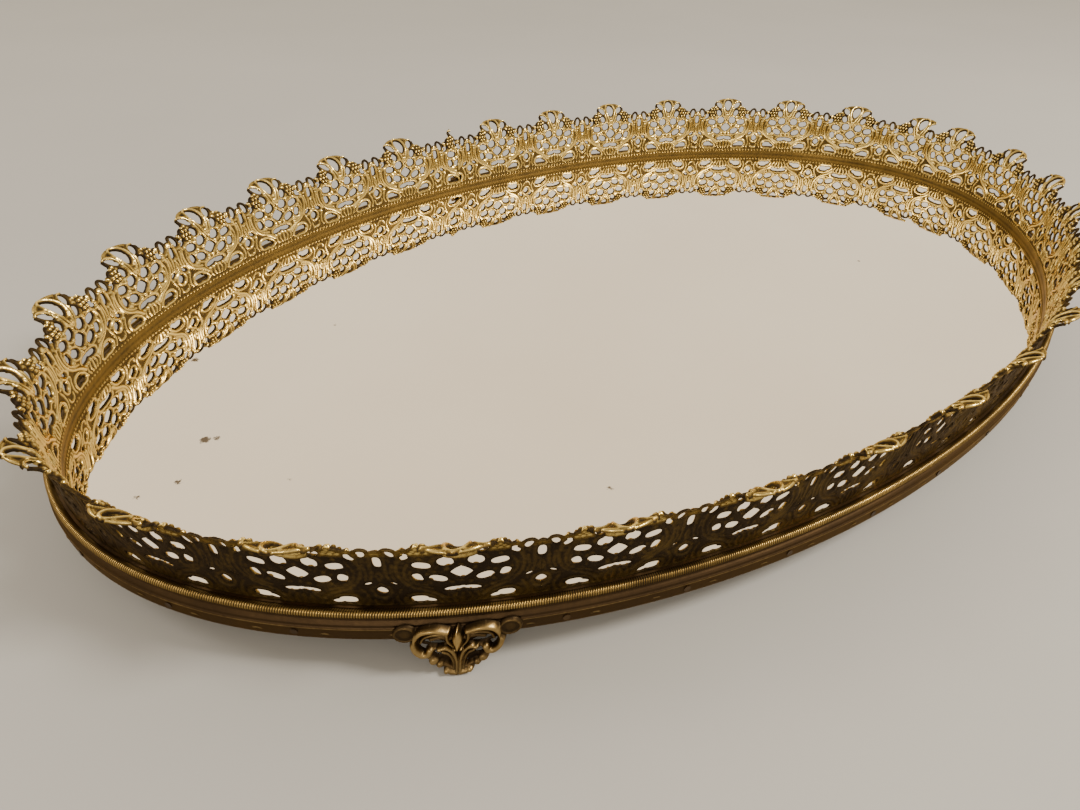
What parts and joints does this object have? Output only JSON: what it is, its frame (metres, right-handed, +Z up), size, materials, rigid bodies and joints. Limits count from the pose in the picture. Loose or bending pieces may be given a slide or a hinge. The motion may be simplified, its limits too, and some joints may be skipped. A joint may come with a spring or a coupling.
{
  "type": "dresser vanity tray",
  "caption": "Oval mirrored vanity tray with a pierced brass filigree gallery, reeded bead, plain lower band and scroll feet, for holding perfume bottles on a dresser.",
  "frame": {"origin": "centre of the oval on the plane that the four feet stand on", "axes": "+X along the oval's long axis, +Y to the back, +Z up out of the mirror"},
  "size_m": [0.4341, 0.2716, 0.0417],
  "materials": {
    "mirror": "silvered plate glass, scattered small dark specks where the silvering has gone",
    "card": "plain grey-brown card",
    "hardboard": "pressed fibreboard, matt",
    "felt": "short dark green felt",
    "gallery_brass": "stamped brass, bright where rubbed, brown-black patina in the recesses",
    "rim_brass": "satin antique brass with brown patina",
    "bead_brass": "reeded bright brass",
    "foot_brass": "cast antique brass, dark in the recesses",
    "rivet_brass": "dull dark brass"
  },
  "bodies": {
    "root": {"mirror_glass": "mirror", "glass_liner": "card", "base_board": "hardboard", "base_felt": "felt", "rim_skirt": "rim_brass", "lower_band": "rim_brass", "reeded_moulding": "bead_brass", "back_seam_plate": "rivet_brass", "band_pins": "rivet_brass", "gallery_strip_back_left": "gallery_brass", "gallery_strip_front_left": "gallery_brass", "gallery_strip_front_right": "gallery_brass", "gallery_strip_back_right": "gallery_brass", "foot_front_left": "foot_brass", "foot_rivets_front_left": "rivet_brass", "foot_front_right": "foot_brass", "foot_rivets_front_right": "rivet_brass", "foot_back_left": "foot_brass", "foot_rivets_back_left": "rivet_brass", "foot_back_right": "foot_brass", "foot_rivets_back_right": "rivet_brass"}
  },
  "joints": []
}
